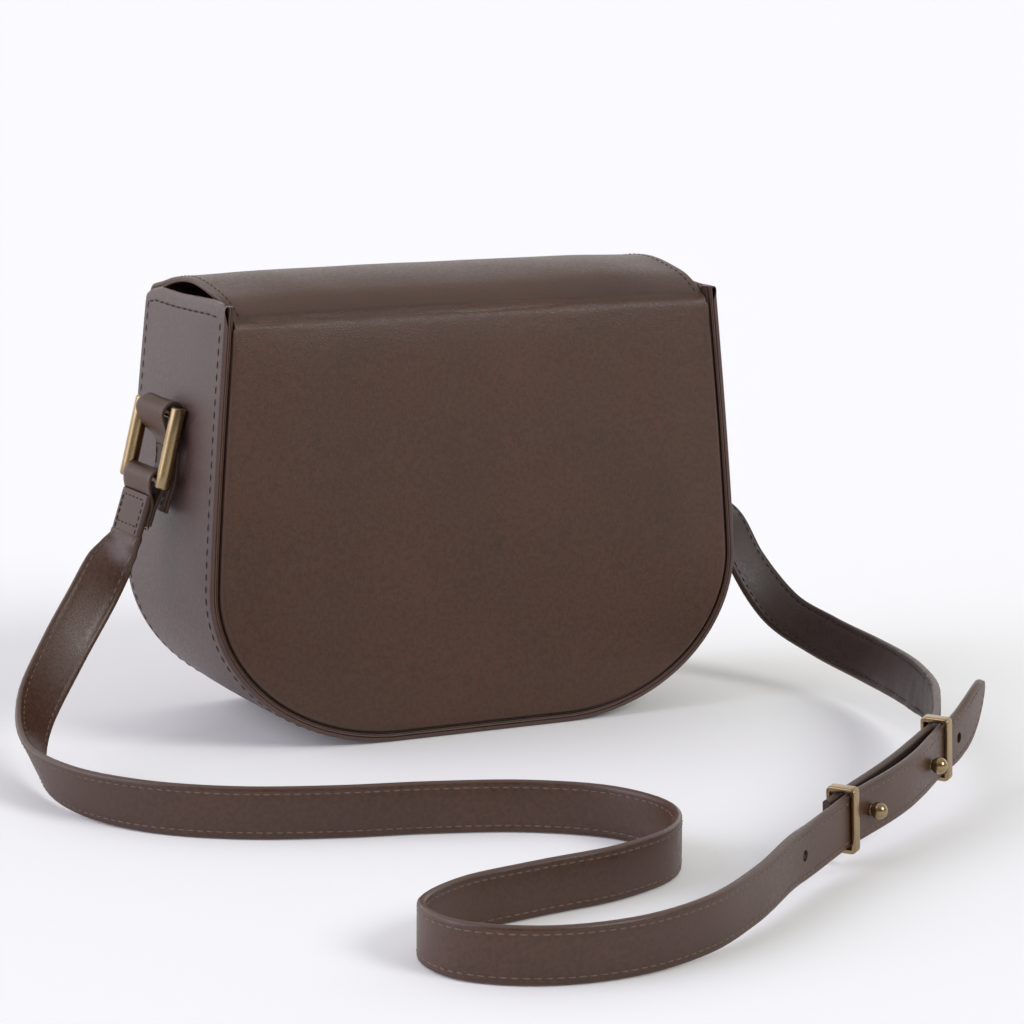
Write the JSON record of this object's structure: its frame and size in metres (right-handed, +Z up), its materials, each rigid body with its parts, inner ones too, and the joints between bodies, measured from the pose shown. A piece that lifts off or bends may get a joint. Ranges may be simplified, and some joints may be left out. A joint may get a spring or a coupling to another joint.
{
  "type": "crossbody bag",
  "caption": "Structured brown leather saddle bag with a domed fold-over flap, hinged brass strap rings and a long strap adjusted by ball studs and sliding keepers.",
  "frame": {"origin": "on the floor under the middle of the body, at the middle of its flat base", "axes": "+X to the right seen from the front, -Y to the front where the flap drops, +Z up"},
  "size_m": [0.3813, 0.4218, 0.1896],
  "materials": {
    "leather": "smooth satin dark brown leather with a very fine grain",
    "strap_leather": "thick smooth dark brown leather with stitched edges",
    "lining": "plain woven cotton",
    "board": "stiff fibre board",
    "brass": "aged antique brass",
    "steel": "plain",
    "magnet": "plated"
  },
  "bodies": {
    "bag": {"back_panel": "leather", "front_panel": "leather", "gusset": "leather", "back_stiffener": "board", "front_stiffener": "board", "gusset_stiffener": "board", "back_lining": "lining", "front_lining": "lining", "gusset_lining": "lining", "slip_pocket": "lining", "tab_left": "leather", "tab_right": "leather", "snap_socket": "brass", "snap_magnet": "magnet", "snap_socket_washer": "steel", "strap_long": "strap_leather", "strap_short": "strap_leather", "studs": "brass", "stud_screws": "brass"},
    "flap": {"flap": "leather", "flap_lining": "leather", "flap_board": "board", "snap_stud": "brass", "snap_stud_washer": "steel"},
    "ring_right": {"ring_right": "brass", "strap_end_right": "strap_leather"},
    "ring_left": {"ring_left": "brass", "strap_end_left": "strap_leather"},
    "keeper_lower": {"keeper_lower": "brass"},
    "keeper_upper": {"keeper_upper": "brass"}
  },
  "joints": [
    {"name": "flap_hinge", "type": "hinge", "parent": "bag", "child": "flap", "pos_m": [0, 0.04525, 0.17257], "axis": [-1, 0, 0], "range_deg": [0, 150]},
    {"name": "ring_right_swing", "type": "hinge", "parent": "bag", "child": "ring_right", "pos_m": [0.12225, 0, 0.1357], "axis": [0.1903, -0.9792, 0.0698], "range_deg": [-3, 100]},
    {"name": "ring_left_swing", "type": "hinge", "parent": "bag", "child": "ring_left", "pos_m": [-0.12225, 0, 0.1357], "axis": [0.1903, 0.9792, -0.0698], "range_deg": [-3, 100]},
    {"name": "keeper_lower_slide", "type": "slide", "parent": "bag", "child": "keeper_lower", "axis": [-0.8256, -0.5569, 0.0906], "range_m": [-0.006, 0.006]},
    {"name": "keeper_upper_slide", "type": "slide", "parent": "bag", "child": "keeper_upper", "axis": [-0.8256, -0.5569, 0.0906], "range_m": [-0.008, 0.006]}
  ]
}
